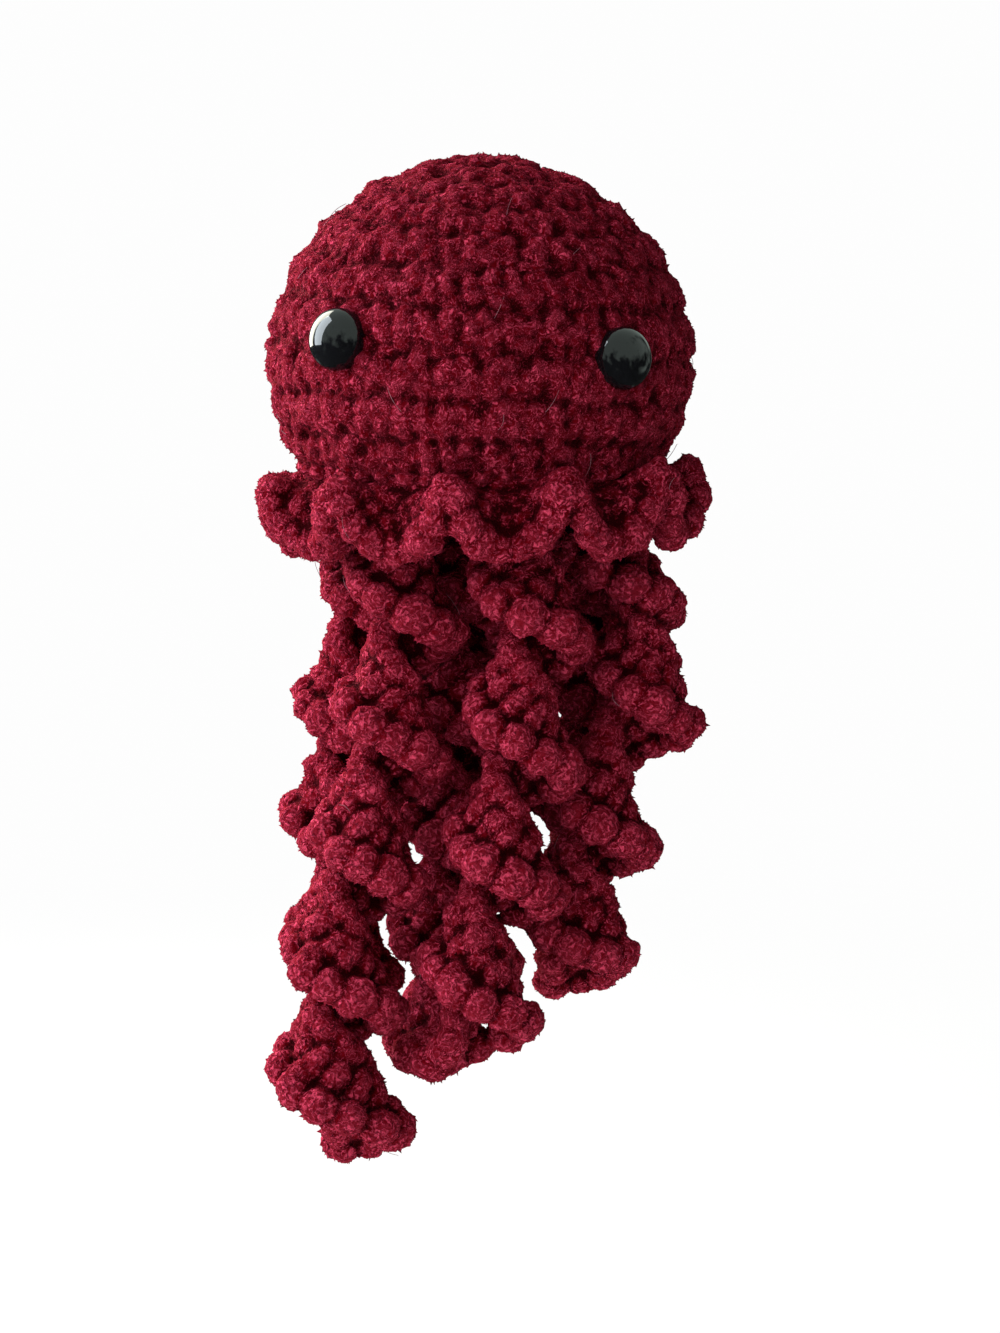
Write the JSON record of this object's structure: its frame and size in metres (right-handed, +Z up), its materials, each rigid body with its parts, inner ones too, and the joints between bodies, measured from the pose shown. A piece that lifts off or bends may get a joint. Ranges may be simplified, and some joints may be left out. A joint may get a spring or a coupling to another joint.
{
  "type": "plush jellyfish",
  "caption": "Crocheted chenille jellyfish toy: stuffed round bell with black safety eyes, ruffled frill and hanging corkscrew tentacles.",
  "frame": {"origin": "the top of the bell, where the toy hangs", "axes": "+Z up, the face with the two eyes towards -Y, +X to the right as seen facing the toy"},
  "size_m": [0.0939, 0.095, 0.2066],
  "materials": {
    "crimson_chenille": "deep crimson velvet chenille yarn, matt with a soft pile",
    "fibrefill": "white polyester fibrefill",
    "black_eye": "polished black plastic",
    "washer": "plain white plastic"
  },
  "bodies": {
    "root": {"bell_cover": "crimson_chenille", "stuffing": "fibrefill", "frill": "crimson_chenille", "eye_left": "black_eye", "eye_right": "black_eye", "eye_washer_left": "washer", "eye_washer_right": "washer", "tentacle_1": "crimson_chenille", "tentacle_2": "crimson_chenille", "tentacle_3": "crimson_chenille", "tentacle_4": "crimson_chenille", "tentacle_5": "crimson_chenille", "tentacle_6": "crimson_chenille", "tentacle_7": "crimson_chenille"}
  },
  "joints": []
}
